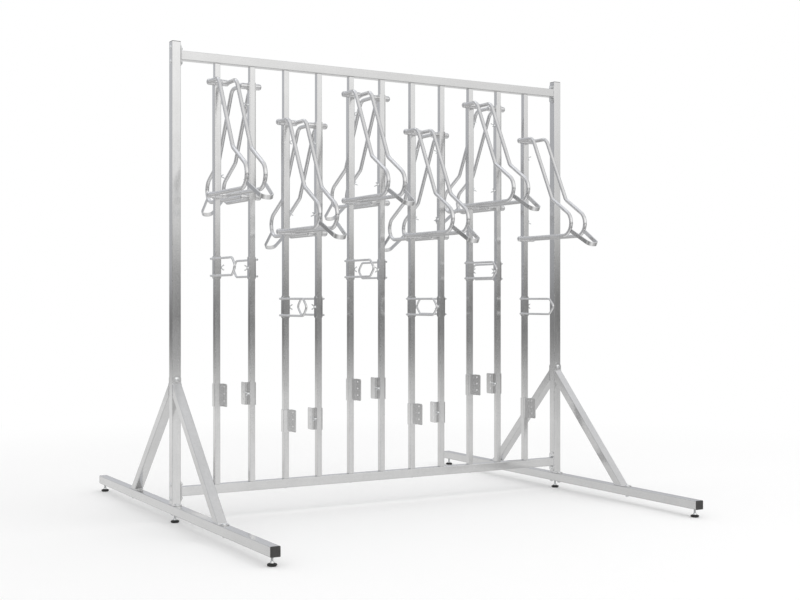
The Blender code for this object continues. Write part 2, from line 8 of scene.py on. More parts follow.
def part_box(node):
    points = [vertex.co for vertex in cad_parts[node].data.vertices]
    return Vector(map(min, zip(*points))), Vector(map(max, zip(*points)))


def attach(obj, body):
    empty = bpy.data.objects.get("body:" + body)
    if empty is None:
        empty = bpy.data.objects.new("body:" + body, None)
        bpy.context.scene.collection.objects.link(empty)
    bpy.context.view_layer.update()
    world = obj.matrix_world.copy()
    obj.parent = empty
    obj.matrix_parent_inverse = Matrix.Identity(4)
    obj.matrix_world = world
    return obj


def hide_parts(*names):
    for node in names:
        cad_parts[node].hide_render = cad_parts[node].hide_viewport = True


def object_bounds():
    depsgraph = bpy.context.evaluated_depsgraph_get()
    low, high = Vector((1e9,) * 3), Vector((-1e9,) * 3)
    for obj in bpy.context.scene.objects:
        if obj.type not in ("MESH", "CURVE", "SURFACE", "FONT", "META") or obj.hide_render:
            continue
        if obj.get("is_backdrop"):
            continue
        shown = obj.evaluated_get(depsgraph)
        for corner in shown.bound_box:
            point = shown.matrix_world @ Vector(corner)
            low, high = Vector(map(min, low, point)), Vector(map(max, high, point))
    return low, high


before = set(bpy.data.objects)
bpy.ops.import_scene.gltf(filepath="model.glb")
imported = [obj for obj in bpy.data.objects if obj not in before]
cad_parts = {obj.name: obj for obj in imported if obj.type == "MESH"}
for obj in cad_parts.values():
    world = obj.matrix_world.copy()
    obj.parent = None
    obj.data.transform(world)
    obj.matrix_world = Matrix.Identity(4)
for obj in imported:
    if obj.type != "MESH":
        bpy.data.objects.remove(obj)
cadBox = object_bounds()
print("frame loaded with", len(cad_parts), "nodes")

# Metres. X runs along the rack, its front faces -Y, Z is up.

gap = 0.0003  # between pieces that are bolted together
sameSpot = 0.000005  # points closer than this become one
sharpAngle = math.radians(38)  # edges that turn more than this stay crisp
domeSteps = 8  # in a quarter turn
halfSteps = 18  # in half a turn
here = Matrix.Identity(4)
plainWhite = (1, 1, 1, 1)

studio = {
    "cameraPlace": (-2.8894, -5.1851, 0.9671),
    "cameraTurn": -29.98,  # degrees about the vertical
    "lens": 56.35,
    "sensor": 36,
    "farthest": 200,
    "shift": -0.0009,
    "floorRadius": 6.0,
    "floorSides": 96,
    "floorFade": (2.2, 4.6),  # where the shadowed floor turns into plain white
    "floorColour": (0.97, 0.97, 0.97),
    "fill": 0.965,
    "softbox": {"place": (1.6, -2.4, 5.2), "size": 3.2, "power": 30},
    # What the steel mirrors, as (degrees above the horizon, brightness): a dark line of horizon
    # between a white floor and a bright ceiling, brighter straight ahead than to the sides
    "frontGlow": [
        (-90, 0.76), (-46, 0.76), (-32, 0.44), (-20, 0.44), (-15, 0.58), (-12.5, 0.76), (-4.2, 0.82),
        (-3.3, 0.60), (-2.3, 0.18), (0.4, 0.175), (1.5, 0.37), (3.2, 0.74), (4.8, 0.85), (8.0, 0.95),
        (10.5, 1.00), (12.5, 1.08), (18, 1.04), (30, 1.02), (55, 0.76), (90, 0.70),
    ],
    "backGlow": [
        (-90, 0.76), (-46, 0.76), (-32, 0.44), (-20, 0.44), (-15, 0.58), (-12.5, 0.72), (-7.0, 0.78),
        (-4.6, 0.92), (-3.3, 0.54), (-1.8, 0.19), (-0.4, 0.20), (0.8, 0.44), (2.4, 0.49), (6.0, 0.56),
        (12.0, 0.62), (36, 0.62), (47, 1.12), (60, 1.12), (90, 0.62),
    ],
    "frontLevel": (1.31, 0.57),  # straight ahead, and what it loses to the side
    "backLevel": (1.15, 0.3),
    "blend": 0.45,  # how far front and back run into each other
    "floorTint": (1.0, 0.999, 0.997),
    "frontTint": (1.0, 0.998, 0.992),
    "backTint": (0.975, 0.99, 1.03),
}


# Objects, meshes and nodes

def addObject(name, data):
    thing = bpy.data.objects.new(name, data)
    bpy.context.scene.collection.objects.link(thing)
    return thing


def meshFrom(bm, name):
    mesh = bpy.data.meshes.new(name)
    bm.to_mesh(mesh)
    bm.free()
    return mesh


def addNode(tree, kind, values=(), **settings):
    node = tree.nodes.new(kind)
    for name, value in settings.items():
        setattr(node, name, value)
    for name, value in dict(values).items():
        node.inputs[name].default_value = value
    return node


def ramp(tree, stops, source):
    node = addNode(tree, "ShaderNodeValToRGB")
    elements = node.color_ramp.elements
    while len(elements) < len(stops):
        elements.new(0.5)
    for element, (position, colour) in zip(elements, stops):
        element.position = position
        element.color = (*colour, 1)
    tree.links.new(source, node.inputs["Fac"])
    return node.outputs[0]


def mixed(tree, share, first, second):
    node = addNode(tree, "ShaderNodeMixShader")
    for socket, source in enumerate((share, first, second)):
        tree.links.new(source, node.inputs[socket])
    return node.outputs[0]


def noise(tree, source, scale, detail, roughness=0.5):
    node = addNode(tree, "ShaderNodeTexNoise", {"Scale": scale, "Detail": detail, "Roughness": roughness})
    tree.links.new(source, node.inputs["Vector"])
    return node.outputs["Fac"]


def bumped(tree, shader, height, strength, depth):
    node = addNode(tree, "ShaderNodeBump", {"Strength": strength, "Distance": depth})
    tree.links.new(height, node.inputs["Height"])
    tree.links.new(node.outputs[0], shader.inputs["Normal"])


# Camera, light and floor

def makeCamera():
    camera = addObject("camera", bpy.data.cameras.new("camera"))
    camera.location = studio["cameraPlace"]
    camera.rotation_euler = (math.pi / 2, 0, math.radians(studio["cameraTurn"]))
    camera.data.lens = studio["lens"]
    camera.data.sensor_width = studio["sensor"]
    camera.data.shift_y = studio["shift"]
    camera.data.clip_end = studio["farthest"]
    bpy.context.scene.camera = camera


# 0 is straight down on the ramp, 0.5 level and 1 straight up
def glowStops(glow, tint):
    stops = []
    for degrees, value in glow:
        shares = tint if degrees > 0 else studio["floorTint"]
        position = 0.5 + 0.5 * math.sin(math.radians(degrees))
        stops.append((position, tuple(value * share for share in shares)))
    return stops


# White to the eye, a plain fill on matt surfaces, and the glow only where something shiny mirrors it
def makeWorld():
    world = bpy.data.worlds.new("studio")
    bpy.context.scene.world = world
    world.use_nodes = True
    tree = world.node_tree
    tree.nodes.clear()
    link = tree.links.new
    direction = addNode(tree, "ShaderNodeTexCoord")
    axes = addNode(tree, "ShaderNodeSeparateXYZ")
    link(direction.outputs["Generated"], axes.inputs[0])
    height = addNode(tree, "ShaderNodeMath", {1: 0.5, 2: 0.5}, operation="MULTIPLY_ADD")
    link(axes.outputs["Z"], height.inputs[0])
    sideways = addNode(tree, "ShaderNodeMath", operation="ABSOLUTE")
    link(axes.outputs["X"], sideways.inputs[0])
    side = addNode(tree, "ShaderNodeMapRange", {"From Min": -studio["blend"], "From Max": studio["blend"]})
    side.interpolation_type = "SMOOTHSTEP"
    link(axes.outputs["Y"], side.inputs["Value"])
    glow = addNode(tree, "ShaderNodeMix", data_type="RGBA")
    level = addNode(tree, "ShaderNodeMix")
    link(side.outputs[0], glow.inputs[0])
    link(side.outputs[0], level.inputs[0])
    for end, glowSocket, levelSocket in (("front", 6, 2), ("back", 7, 3)):
        stops = glowStops(studio[end + "Glow"], studio[end + "Tint"])
        link(ramp(tree, stops, height.outputs[0]), glow.inputs[glowSocket])
        ahead, loss = studio[end + "Level"]
        fading = addNode(tree, "ShaderNodeMath", {1: -loss, 2: ahead}, operation="MULTIPLY_ADD")
        link(sideways.outputs[0], fading.inputs[0])
        link(fading.outputs[0], level.inputs[levelSocket])
    shine = addNode(tree, "ShaderNodeBackground")
    link(glow.outputs[2], shine.inputs["Color"])
    link(level.outputs[0], shine.inputs["Strength"])
    fill = addNode(tree, "ShaderNodeBackground", {"Color": plainWhite, "Strength": studio["fill"]})
    plain = addNode(tree, "ShaderNodeBackground", {"Color": plainWhite, "Strength": 1.0})
    ray = addNode(tree, "ShaderNodeLightPath")
    lit = mixed(tree, ray.outputs["Is Glossy Ray"], fill.outputs[0], shine.outputs[0])
    seen = mixed(tree, ray.outputs["Is Camera Ray"], lit, plain.outputs[0])
    link(seen, addNode(tree, "ShaderNodeOutputWorld").inputs["Surface"])


def makeSoftbox():
    box = studio["softbox"]
    light = bpy.data.lights.new("softbox", "AREA")
    light.energy = box["power"]
    light.size = box["size"]
    lamp = addObject("softbox", light)
    lamp.location = box["place"]
    lamp.rotation_euler = (-Vector(box["place"])).to_track_quat("-Z", "Y").to_euler()
    lamp.visible_glossy = False


# The floor is matt near the rack and turns into plain white further out
def makeFloor():
    bm = bmesh.new()
    sides = studio["floorSides"]
    bmesh.ops.create_circle(bm, cap_ends=True, radius=studio["floorRadius"], segments=sides)
    floor = addObject("floor", meshFrom(bm, "floor"))
    material = bpy.data.materials.new("floor")
    material.use_nodes = True
    tree = material.node_tree
    tree.nodes.clear()
    link = tree.links.new
    matt = addNode(tree, "ShaderNodeBsdfDiffuse", {"Color": (*studio["floorColour"], 1)})
    white = addNode(tree, "ShaderNodeEmission", {"Color": plainWhite, "Strength": 1.0})
    place = addNode(tree, "ShaderNodeNewGeometry")
    reach = addNode(tree, "ShaderNodeVectorMath", operation="LENGTH")
    link(place.outputs["Position"], reach.inputs[0])
    near, far = studio["floorFade"]
    fade = addNode(tree, "ShaderNodeMapRange", {"From Min": near, "From Max": far})
    fade.interpolation_type = "SMOOTHSTEP"
    link(reach.outputs["Value"], fade.inputs["Value"])
    surface = mixed(tree, fade.outputs[0], matt.outputs[0], white.outputs[0])
    link(surface, addNode(tree, "ShaderNodeOutputMaterial").inputs["Surface"])
    floor.data.materials.append(material)
    floor.visible_glossy = False  # the world already has a floor for the steel to mirror
    floor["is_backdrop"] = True


bpy.context.scene.view_settings.view_transform = "Standard"
makeCamera()
makeWorld()
makeSoftbox()
makeFloor()
print("studio done")


# Finishes

# Zinc coated steel: crystals, cloudy patches, streaks along the tube and a fine grain
zinc = {
    "light": (0.745, 0.745, 0.745),
    "dark": (0.70, 0.70, 0.70),
    "toneSpan": (0.25, 0.75),  # of the pattern, from dark to light
    "roughness": (0.10, 0.16),
    "roughnessSpan": (0.25, 0.80),
    "along": (0, 0, 1),  # direction of the streaks
    "turn": (0, 0, 0),
    "streak": (4.0, 60.0),  # scale along the streaks and across them
    "crystal": 150.0,
    "crystalHeight": 0.5,
    "cloud": 7.0,
    "grain": 900.0,
    "shares": (0.85, 0.55, 0.16, 0.20),  # of cloud, streak, crystal and grain in the pattern
    "offset": -0.38,
    "bump": 0.04,
    "bumpDepth": 0.0006,
    "moves": False,
}

# Moulded plastic: a fine even grain, scuffed paler on top of it
plastic = {
    "grain": 1400.0,
    "wear": 70.0,
    "wearSpan": (0.40, 0.78),
    "spread": (-0.10, 0.15),  # of the roughness, from the least worn spots to the most worn
    "shine": 0.4,
    "bump": 0.25,
    "bumpDepth": 0.0004,
}


def newMaterial(name):
    material = bpy.data.materials.new(name)
    material.use_nodes = True
    return material, material.node_tree, material.node_tree.nodes["Principled BSDF"]


# The pattern goes along with a piece that moves, and otherwise stays in the room, so that no two bars match
def patternPlace(tree, moves):
    if moves:
        return addNode(tree, "ShaderNodeTexCoord").outputs["Object"]
    return addNode(tree, "ShaderNodeNewGeometry").outputs["Position"]


def zincFinish(name, **changes):
    look = {**zinc, **changes}
    material, tree, shader = newMaterial(name)
    link = tree.links.new
    shader.inputs["Metallic"].default_value = 1.0
    place = patternPlace(tree, look["moves"])
    lengthwise, crosswise = look["streak"]
    stretch = [lengthwise if axis else crosswise for axis in look["along"]]
    lay = addNode(tree, "ShaderNodeMapping", {"Rotation": look["turn"], "Scale": stretch})
    link(place, lay.inputs["Vector"])
    cloud = noise(tree, place, look["cloud"], detail=4.0, roughness=0.6)
    streak = noise(tree, lay.outputs[0], scale=1.0, detail=3.0, roughness=0.6)
    grain = noise(tree, place, look["grain"], detail=2.0)
    crystal = addNode(tree, "ShaderNodeTexVoronoi", {"Scale": look["crystal"]})
    link(place, crystal.inputs["Vector"])
    facet = addNode(tree, "ShaderNodeSeparateColor")
    link(crystal.outputs["Color"], facet.inputs[0])
    total = None
    for source, share in zip((cloud, streak, facet.outputs[0], grain), look["shares"]):
        step = addNode(tree, "ShaderNodeMath", {1: share, 2: look["offset"]}, operation="MULTIPLY_ADD")
        link(source, step.inputs[0])
        if total is not None:
            link(total, step.inputs[2])
        total = step.outputs[0]
    start, end = look["toneSpan"]
    link(ramp(tree, [(start, look["dark"]), (end, look["light"])], total), shader.inputs["Base Color"])
    start, end = look["roughnessSpan"]
    low, high = look["roughness"]
    span = {"From Min": start, "From Max": end, "To Min": high, "To Max": low}
    sheen = addNode(tree, "ShaderNodeMapRange", span)
    link(total, sheen.inputs["Value"])
    link(sheen.outputs[0], shader.inputs["Roughness"])
    relief = addNode(tree, "ShaderNodeMath", {1: look["crystalHeight"]}, operation="MULTIPLY_ADD")
    link(facet.outputs[1], relief.inputs[0])
    link(grain, relief.inputs[2])
    bumped(tree, shader, relief.outputs[0], look["bump"], look["bumpDepth"])
    return material


def plasticFinish(name, colour, scuff, roughness, moves=False):
    material, tree, shader = newMaterial(name)
    link = tree.links.new
    shader.inputs["Specular IOR Level"].default_value = plastic["shine"]
    place = patternPlace(tree, moves)
    grain = noise(tree, place, plastic["grain"], detail=3.0)
    wear = noise(tree, place, plastic["wear"], detail=6.0, roughness=0.7)
    start, end = plastic["wearSpan"]
    link(ramp(tree, [(start, colour), (end, scuff)], wear), shader.inputs["Base Color"])
    low, high = plastic["spread"]
    rough = addNode(tree, "ShaderNodeMapRange", {"To Min": roughness + low, "To Max": roughness + high})
    link(wear, rough.inputs["Value"])
    link(rough.outputs[0], shader.inputs["Roughness"])
    bumped(tree, shader, grain, plastic["bump"], plastic["bumpDepth"])
    return material


slant = math.radians(45)
# Painted shade: the top rail's zinc is a darker copy, standing in for the dimmer light that the rail
# mirrors
topRailPaintedShade = {"light": (0.69, 0.69, 0.69), "dark": (0.65, 0.65, 0.65)}
# Painted shade: the braces get a darker copy of the zinc, standing in for the shade that they mirror
bracePaintedShade = {"light": (0.705, 0.705, 0.705), "dark": (0.65, 0.65, 0.65)}
smallSteel = {"crystal": 500.0, "cloud": 40.0, "bump": 0.05}

uprightZinc = zincFinish("upright_zinc")
topRailShadedZinc = zincFinish("top_rail_shaded_zinc", along=(1, 0, 0), **topRailPaintedShade)
bottomRailZinc = zincFinish("bottom_rail_zinc", along=(1, 0, 0))
beamZinc = zincFinish("beam_zinc", along=(0, 1, 0))
braceFrontShadedZinc = zincFinish("brace_front_shaded_zinc", along=(0, 1, 0), turn=(-slant, 0, 0), **bracePaintedShade)
braceBackShadedZinc = zincFinish("brace_back_shaded_zinc", along=(0, 1, 0), turn=(slant, 0, 0), **bracePaintedShade)
barZinc = zincFinish("bar_zinc", cloud=9.0)
# Painted highlight: rods and crossbars get a paler copy of the zinc, standing in for the brighter
# highlights on them
rodHighlitZinc = zincFinish(
    "rod_highlit_zinc",
    light=(0.785, 0.785, 0.79),
    dark=(0.70, 0.70, 0.705),
    roughness=(0.14, 0.22),
    crystal=260.0,
)
sheetZinc = zincFinish("sheet_zinc", light=(0.76, 0.76, 0.76), dark=(0.68, 0.68, 0.68), crystal=200.0)
# Painted light: the seams get a much paler copy of the zinc, to cancel the dark line that their reflection
# gives
seamLightenedZinc = zincFinish(
    "seam_lightened_zinc",
    light=(0.90, 0.90, 0.91),
    dark=(0.78, 0.78, 0.79),
    roughness=(0.28, 0.42),
    cloud=60.0,
    bump=0.30,
)
boltZinc = zincFinish(
    "bolt_zinc",
    light=(0.90, 0.91, 0.91),
    dark=(0.76, 0.77, 0.78),
    roughness=(0.14, 0.26),
    **smallSteel,
)
footZinc = zincFinish(
    "foot_zinc",
    light=(0.86, 0.87, 0.87),
    dark=(0.70, 0.71, 0.72),
    roughness=(0.16, 0.30),
    moves=True,
    **smallSteel,
)
capPlastic = plasticFinish("cap_plastic", (0.045, 0.045, 0.044), (0.075, 0.074, 0.072), 0.5)
padPlastic = plasticFinish("pad_plastic", (0.018, 0.018, 0.018), (0.035, 0.034, 0.033), 0.55, moves=True)
print("finishes done")


# Places and outlines

def lift(height):
    return Matrix.Translation((0, 0, height))


# Turns a shape's Z into a direction
def onto(direction, place=(0, 0, 0), spin=0.0):
    turn = Vector(direction).to_track_quat("Z", "Y").to_matrix().to_4x4()
    return Matrix.Translation(place) @ turn @ Matrix.Rotation(spin, 4, "Z")


def middleOf(node):
    low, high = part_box(node)
    return [(low[axis] + high[axis]) / 2 for axis in range(3)]


# A line through the corners, each of them rounded by its own radius
def arc(corners, radii, step=10):
    points = []
    count = len(corners)
    for index, corner in enumerate(corners):
        corner = Vector(corner)
        if radii[index] <= 0:
            points.append(corner)
            continue
        before = (Vector(corners[index - 1]) - corner).normalized()
        after = (Vector(corners[(index + 1) % count]) - corner).normalized()
        opening = before.angle(after)
        swing = math.pi - opening
        centre = corner + (before + after).normalized() * radii[index] / math.sin(opening / 2)
        reach = radii[index] / math.tan(opening / 2)
        first = corner + before * reach - centre
        last = corner + after * reach - centre
        pieces = max(2, round(math.degrees(swing) / step))
        for piece in range(pieces + 1):
            done = swing * piece / pieces
            weighted = first * math.sin(swing - done) + last * math.sin(done)
            points.append(centre + weighted / math.sin(swing))
    return points


def squareOutline(side, corner, step=15):
    half = side / 2
    return arc([(half, half), (-half, half), (-half, -half), (half, -half)], [corner] * 4, step)


def circleOutline(radius, sides):
    turns = [2 * math.pi * index / sides for index in range(sides)]
    return [Vector((radius * math.cos(turn), radius * math.sin(turn))) for turn in turns]


# Half a circle round (0, height)
def halfRound(radius, height, start=0.0):
    turns = [math.pi * index / halfSteps + start for index in range(halfSteps + 1)]
    return [Vector((radius * math.cos(turn), height + radius * math.sin(turn))) for turn in turns]


def lengthOf(path):
    return sum((after - before).length for before, after in zip(path, path[1:]))


# The same path, with its points at most a step apart
def dense(path, step, closed=False):
    points = []
    following = path[1:] + path[:1] if closed else path[1:]
    for start, end in zip(path, following):
        pieces = max(1, math.ceil((end - start).length / step))
        points += [start.lerp(end, piece / pieces) for piece in range(pieces)]
    return points if closed else points + [path[-1]]


# Shapes, as meshes that assemble() sets in place

# Seams have the ripples that the torch leaves
weld = {
    "sides": 6,
    "ripple": 0.0032,
    "swell": 0.10,  # of a ripple, as a share of the seam's radius
    "step": 0.0011,
    "standOff": 0.0004,  # of a seam's middle from the steel
    "channelSpan": (0.08, 0.92),  # of a crossbar's round side, from its top to its bottom
    "channelSteps": 12,
    "channelSeam": 0.0018,  # radii of the seams of holders and loops
    "rodSeam": 0.0016,
    "strapSeam": 0.0020,
    "sleeveSeam": 0.0013,
}


# A flat outline with holes, raised along Z, its edges eased
def cutPlate(outlines, thickness, edge=0.0):
    curve = bpy.data.curves.new("plate", "CURVE")
    curve.dimensions = "2D"
    curve.fill_mode = "BOTH"
    curve.extrude = thickness / 2 - edge
    if edge:
        curve.bevel_depth = edge
        curve.bevel_resolution = 1
        curve.offset = -edge
    for outline in outlines:
        spline = curve.splines.new("POLY")
        spline.points.add(len(outline) - 1)
        spline.use_cyclic_u = True
        for point, place in zip(spline.points, outline):
            point.co = (place[0], place[1], 0, 1)
    shape = addObject("plate", curve)
    mesh = bpy.data.meshes.new_from_object(shape.evaluated_get(bpy.context.evaluated_depsgraph_get()))
    bpy.data.objects.remove(shape)
    return mesh


def joinRings(bm, first, second):
    for index in range(len(first)):
        following = (index + 1) % len(first)
        bm.faces.new((first[index], first[following], second[following], second[index]))


# A section carried along a path; sectionAt gives it as offsets across the path
def sweep(path, sectionAt, closed=False, up=None):
    bm = bmesh.new()
    count = len(path)
    rings = []
    travelled = 0.0
    across = None
    for index, point in enumerate(path):
        after = path[(index + 1) % count] if closed or index < count - 1 else point
        before = path[index - 1] if closed or index > 0 else point
        ahead = (after - before).normalized()
        if up is not None:
            across = Vector(up).cross(ahead).normalized()
        elif across is None:
            across = ahead.orthogonal().normalized()
        else:
            across = (across - ahead * across.dot(ahead)).normalized()
        other = ahead.cross(across)
        bend = (after - point).angle(point - before, 0.0)
        stretch = 1 / math.cos(bend / 2)  # keeps the section's width where the path bends
        ring = []
        for aside, above in sectionAt(travelled):
            ring.append(bm.verts.new(point + across * aside * stretch + other * above))
        rings.append(ring)
        travelled += (after - point).length
    for first, second in zip(rings, rings[1:]):
        joinRings(bm, first, second)
    if closed:
        joinRings(bm, rings[-1], rings[0])
    else:
        bm.faces.new(rings[0][::-1])
        bm.faces.new(rings[-1])
    bmesh.ops.recalc_face_normals(bm, faces=bm.faces)
    return meshFrom(bm, "sweep")


def bentRod(path, radius, sides=16):
    ring = [tuple(point) for point in circleOutline(radius, sides)]
    return sweep(path, lambda travelled: ring)


# A flat bar or sheet bent on edge: thickness across the path, height along Z
def bentSheet(path, thickness, heightAt, edge=0.0005):
    def section(travelled):
        half, top = thickness / 2, heightAt(travelled) / 2
        upper = [(half, top - edge), (half - edge, top), (edge - half, top), (-half, top - edge)]
        lower = [(-half, edge - top), (edge - half, -top), (half - edge, -top), (half, edge - top)]
        return upper + lower
    return sweep([Vector((*point[:2], 0)) for point in path], section, up=(0, 0, 1))


def weldSeam(path, radius, closed=True):
    def section(travelled):
        swell = radius * (1 + weld["swell"] * math.sin(2 * math.pi * travelled / weld["ripple"]))
        turns = [2 * math.pi * index / weld["sides"] for index in range(weld["sides"])]
        return [(swell * math.cos(turn), swell * math.sin(turn)) for turn in turns]
    return sweep(dense(path, weld["step"], closed), section, closed)


# A profile of (radius, height), from the top of the axis down its outer side, turned round Z
def turned(profile, steps=32):
    bm = bmesh.new()
    points = [bm.verts.new((radius, 0, height)) for radius, height in profile]
    edges = [bm.edges.new(pair) for pair in zip(points, points[1:])]
    axis = {"cent": (0, 0, 0), "axis": (0, 0, 1), "angle": 2 * math.pi}
    bmesh.ops.spin(bm, geom=points + edges, steps=steps, **axis)
    bmesh.ops.remove_doubles(bm, verts=bm.verts, dist=sameSpot)
    bmesh.ops.recalc_face_normals(bm, faces=bm.faces)
    return meshFrom(bm, "turned")


def cutAway(mesh, tools):
    target = addObject("target", mesh)
    for tool, place in tools:
        cutter = addObject("cutter", tool)
        cutter.matrix_world = place
        boolean = target.modifiers.new("cut", "BOOLEAN")
        boolean.operation = "DIFFERENCE"
        boolean.object = cutter
    bpy.context.view_layer.update()
    cut = bpy.data.meshes.new_from_object(target.evaluated_get(bpy.context.evaluated_depsgraph_get()))
    for modifier in target.modifiers:
        bpy.data.objects.remove(modifier.object)
    bpy.data.objects.remove(target)
    return cut


# Joins (shape, place, finish) triples into one mesh
def assemble(name, shapes):
    bm = bmesh.new()
    finishes = []
    for shape, place, finish in shapes:
        if finish not in finishes:
            finishes.append(finish)
        firstVert, firstFace = len(bm.verts), len(bm.faces)
        bm.from_mesh(shape)
        bm.verts.ensure_lookup_table()
        bm.faces.ensure_lookup_table()
        bmesh.ops.transform(bm, matrix=place, verts=bm.verts[firstVert:])
        for face in bm.faces[firstFace:]:
            face.material_index = finishes.index(finish)
            face.smooth = True
    mesh = meshFrom(bm, name)
    for finish in finishes:
        mesh.materials.append(finish)
    mesh.set_sharp_from_angle(angle=sharpAngle)
    return mesh


# The dressed piece takes the place of the CAD's node
def addPiece(node, mesh, place, body="rack", turn=0.0):
    piece = addObject(node + "_dressed", mesh)
    piece.location = place
    piece.rotation_euler.z = turn
    # keeps rounded edges from bending the flats
    piece.modifiers.new("flat faces", "WEIGHTED_NORMAL").keep_sharp = True
    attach(piece, body)
    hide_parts(node)


# Fasteners

# Radii of shank, heads, washers and nut, and heights above the face that they stand on
frameBolt = {
    "shank": 0.005,
    "pitch": 0.0015,
    "head": 0.0093,
    "headRim": 0.0008,
    "crown": 0.005,  # top of the head
    "washer": 0.0105,
    "nutWasher": 0.0095,
    "washerThickness": 0.0012,
    "nut": 0.009215,  # out to its corners
    "nutTop": 0.008,
    "nutEasing": 0.07,  # share of its radius
    "nutSpin": 0.3,
    "threadStart": 0.006,
    "threadTop": 0.010,
}
barBolt = {"head": 0.0075, "headRim": 0.0009, "crown": 0.0045}
wing = {
    "shank": 0.003,
    "pitch": 0.001,
    "threadStart": 0.005,
    "threadTop": 0.0082,
    "thickness": 0.0026,
    "edge": 0.0008,
    # profile of the hub as (radius, height)
    "hub": [(0, 0.006), (0.00341, 0.006), (0.00396, 0.0052), (0.0055, 0.0008), (0.0055, 0), (0, 0)],
    # corners of one ear as (out, up, radius)
    "ear": [
        (0.0012, 0.0020, 0), (0.0044, 0.0020, 0.001), (0.0138, 0.0153, 0.003),
        (0.0124, 0.0215, 0.0022), (0.007176, 0.0172, 0.005), (0.0012, 0.00605, 0),
    ],
}
threadDepth = 0.35  # share of the pitch


# The threaded end of a bolt or stud, with one ridge to each pitch
def thread(radius, top, bottom, pitch, steps):
    depth = pitch * threadDepth
    profile = [(0, top), (radius - depth, top)]
    height = top
    while height - pitch > bottom:
        profile += [(radius, height - pitch / 2), (radius - depth, height - pitch)]
        height -= pitch
    return turned(profile + [(radius - depth, bottom), (0, bottom)], steps)


# A round crown on an upright rim
def domeHead(radius, height, rim):
    profile = [(0, height)]
    for index in range(1, domeSteps + 1):
        turn = math.pi / 2 * index / domeSteps
        profile.append((radius * math.sin(turn), rim + (height - rim) * math.cos(turn)))
    return turned(profile + [(radius, 0), (0, 0)], steps=28)


def washer(radius, thickness):
    return turned([(0, thickness), (radius, thickness), (radius, 0), (0, 0)], steps=28)


# Six flats with eased edges
def hexNut(radius, height, easing):
    bm = bmesh.new()
    bmesh.ops.create_cone(bm, cap_ends=True, segments=6, radius1=radius, radius2=radius, depth=height)
    bmesh.ops.translate(bm, vec=(0, 0, height / 2), verts=bm.verts)
    rounding = {"offset": radius * easing, "segments": 2, "profile": 0.5}
    bmesh.ops.bevel(bm, geom=bm.edges[:], affect="EDGES", **rounding)
    return meshFrom(bm, "nut")


# Washer and head on the near side; beyond the grip a washer, the nut and the end of the thread
def boltThrough(place, direction, grip):
    size = frameBolt
    out = Vector(direction)
    near = Vector(place)
    far = near - out * grip
    thickness, top = size["washerThickness"], size["nutTop"]
    head = domeHead(size["head"], size["crown"] - thickness, size["headRim"])
    nut = hexNut(size["nut"], top - thickness, size["nutEasing"])
    end = thread(size["shank"], size["threadTop"], size["threadStart"], size["pitch"], steps=20)
    return [
        (washer(size["washer"], thickness), onto(out, near), boltZinc),
        (head, onto(out, near + out * thickness), boltZinc),
        (washer(size["nutWasher"], thickness), onto(-out, far), boltZinc),
        (nut, onto(-out, far - out * thickness, size["nutSpin"]), boltZinc),
        (end, onto(-out, far), boltZinc),
    ]


def barHead(place, direction):
    head = domeHead(barBolt["head"], barBolt["crown"], barBolt["headRim"])
    return (head, onto(direction, place), boltZinc)


# A round hub under two ears that spread outwards, and the end of the stud between them.
# It stands on a side that faces +X, its ears turned by so many degrees from upright.
def wingNut(place, degrees=0):
    lay = onto((1, 0, 0), place)
    spin = math.radians(degrees) + math.pi / 2
    upright = onto((1, 0, 0), place, spin) @ Matrix.Rotation(math.pi / 2, 4, "X")
    shapes = []
    for side in (1, -1):
        corners = [(side * out, up) for out, up, radius in wing["ear"]]
        outline = arc(corners, [radius for out, up, radius in wing["ear"]], step=20)
        shapes.append((cutPlate([outline], wing["thickness"], wing["edge"]), upright, boltZinc))
    shapes.append((turned(wing["hub"], steps=24), lay, boltZinc))
    end = thread(wing["shank"], wing["threadTop"], wing["threadStart"], wing["pitch"], steps=16)
    return shapes + [(end, lay, boltZinc)]


# Frame

tube = {
    "side": 0.040,
    "wall": 0.002,
    "corner": 0.003,
    "innerCorner": 0.35,  # share of the outer one
    "plate": 0.003,
    "plateHalf": 0.0198,
    "plateEdge": 0.0004,
    "boltOffset": 0.0305,
    "seam": 0.0015,
}
# The plug's flat top has an eased rim, and its skirt shows as a thin line:
# (distance in from the tube's side, share of the cap's thickness)
capLevels = [(0, 0), (0, 0.55), (0.0003, 0.75), (0.001, 0.93), (0.0022, 1), (0.012, 1)]
post = {"capThickness": 0.003, "foot": 0.0773}
beam = {
    "length": 2.100,
    "capThickness": 0.005,
    "footPlaces": (-1.0225, 0, 1.0225),
    # profile of the threaded insert's rim as (radius, height)
    "insert": [(0, 0.0009), (0.0081, 0.0009), (0.0085, 0.0004), (0.0085, -0.0005), (0, -0.0005)],
}
rail = {"length": 2.000, "boltHeads": (0, 2, 4, 6, 8, 10)}
brace = {"reach": 0.545, "setback": 0.0175, "lip": 0.002}
cornerHeight = 0.077  # top of the foot beams, where the braces start


def tubeOutlines(side, wall, corner):
    return [squareOutline(side, corner), squareOutline(side - 2 * wall, corner * tube["innerCorner"])]


def squareTube(length, size=tube):
    return cutPlate(tubeOutlines(size["side"], size["wall"], size["corner"]), length)


# Round both bolts, as long as needed for them
def boltedPlate():
    half, offset = tube["plateHalf"], tube["boltOffset"]
    outline = halfRound(half, offset) + halfRound(half, -offset, math.pi)
    return cutPlate([outline], tube["plate"], tube["plateEdge"])


def seamOutline():
    return squareOutline(tube["side"] + 2 * weld["standOff"], tube["corner"], step=30)


def tubeSeam(place):
    ring = [place @ Vector((*point, 0)) for point in seamOutline()]
    return (weldSeam(ring, tube["seam"]), here, seamLightenedZinc)


